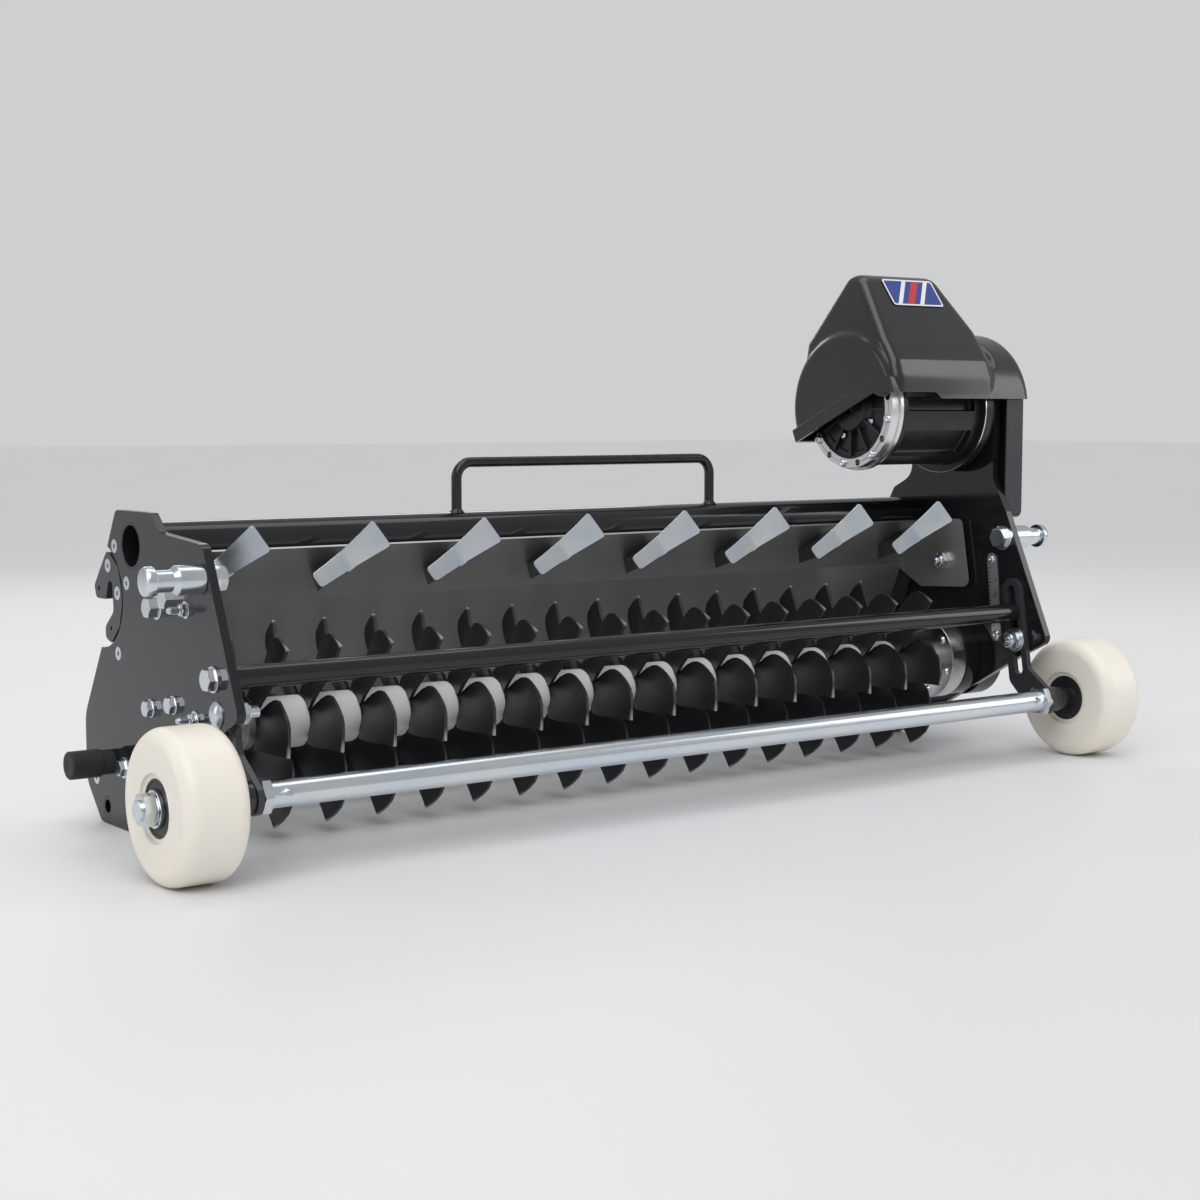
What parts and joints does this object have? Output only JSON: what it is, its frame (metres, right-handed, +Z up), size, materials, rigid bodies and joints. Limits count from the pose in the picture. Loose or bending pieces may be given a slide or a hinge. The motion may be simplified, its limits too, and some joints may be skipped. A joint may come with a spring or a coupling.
{
  "type": "lawn scarifier",
  "caption": "Powered lawn scarifier unit: side plates, twisted tine reel, deflector, front axle with nylon wheels, carry handle, hooded motor.",
  "frame": {"origin": "centre of the footprint on the floor", "axes": "+X from the left plate to the motor end, +Y from the wheels to the back, +Z up"},
  "size_m": [1.128, 0.3704, 0.512],
  "materials": {
    "black_paint": "gloss",
    "dark_paint": "satin",
    "zinc_plate": "satin",
    "plain_steel": "satin",
    "machined_ring": "satin",
    "black_casting": "satin",
    "white_nylon": "satin",
    "black_plastic": "gloss",
    "seal_steel": "satin",
    "black_rubber": "matt"
  },
  "bodies": {
    "frame": {"left_side_plate": "black_paint", "right_side_plate": "black_paint", "left_hook_plate": "dark_paint", "right_hook_plate": "dark_paint", "left_backing_plate": "dark_paint", "right_backing_plate": "dark_paint", "countersunk_screws": "zinc_plate", "top_tube": "black_paint", "carry_handle": "black_paint", "mid_tube": "black_paint", "mid_tube_bolts": "zinc_plate", "tie_tube": "black_paint", "left_spigot": "zinc_plate", "right_spigot": "zinc_plate", "spigot_bolts": "zinc_plate", "left_buffer": "black_rubber", "right_buffer": "black_rubber", "plate_bolts": "zinc_plate", "deflector_sheet": "plain_steel", "deflector_paddles": "zinc_plate", "paddle_wedges": "black_plastic", "deflector_bolts": "zinc_plate", "left_gauge_strip": "plain_steel", "right_gauge_strip": "plain_steel", "gauge_screws": "zinc_plate", "left_bearing_housing": "black_paint", "left_bearing": "plain_steel", "right_bearing_housing": "machined_ring", "bearing_drum": "black_paint", "right_bearing": "plain_steel", "housing_screws": "zinc_plate", "clamp_bolts": "zinc_plate", "clamp_nuts": "zinc_plate", "motor_body": "black_casting", "motor_ring": "machined_ring", "motor_end_cap": "black_casting", "motor_screws": "zinc_plate", "motor_flange": "black_casting", "motor_guard": "black_plastic", "drive_cover": "dark_paint", "drive_belt": "black_rubber"},
    "front_axle": {"front_axle_tube": "zinc_plate", "left_bracket": "dark_paint", "right_bracket": "dark_paint", "axle_rod": "zinc_plate", "hub_sleeves": "black_plastic", "axle_nuts": "zinc_plate", "grease_nipples": "zinc_plate"},
    "left_wheel": {"left_wheel": "white_nylon", "left_wheel_bearings": "seal_steel"},
    "right_wheel": {"right_wheel": "white_nylon", "right_wheel_bearings": "seal_steel"},
    "reel": {"reel_shaft": "plain_steel", "tine_discs_left": "black_paint", "tine_discs_right": "black_paint", "reel_spacers": "white_nylon", "shaft_collars": "plain_steel", "reel_pulley": "plain_steel"},
    "motor_rotor": {"motor_rotor_shaft": "plain_steel", "motor_pulley": "plain_steel"}
  },
  "joints": [
    {"name": "height_adjust", "type": "slide", "parent": "frame", "child": "front_axle", "axis": [0, 0.156, 0.9878], "range_m": [-0.024, 0.032]},
    {"name": "left_wheel_spin", "type": "hinge", "parent": "front_axle", "child": "left_wheel", "pos_m": [-0.522, -0.12275, 0.0625], "axis": [1, 0, 0], "continuous": true},
    {"name": "right_wheel_spin", "type": "hinge", "parent": "front_axle", "child": "right_wheel", "pos_m": [0.522, -0.12275, 0.0625], "axis": [1, 0, 0], "continuous": true},
    {"name": "reel_spin", "type": "hinge", "parent": "frame", "child": "reel", "pos_m": [0, 0.01525, 0.097], "axis": [1, 0, 0], "continuous": true},
    {"name": "motor_spin", "type": "hinge", "parent": "frame", "child": "motor_rotor", "pos_m": [0.4, 0.01925, 0.37], "axis": [1, 0, 0], "continuous": true}
  ],
  "couplings": [
    {"joint": "motor_spin", "follows": "reel_spin", "ratio": 1.2692}
  ]
}
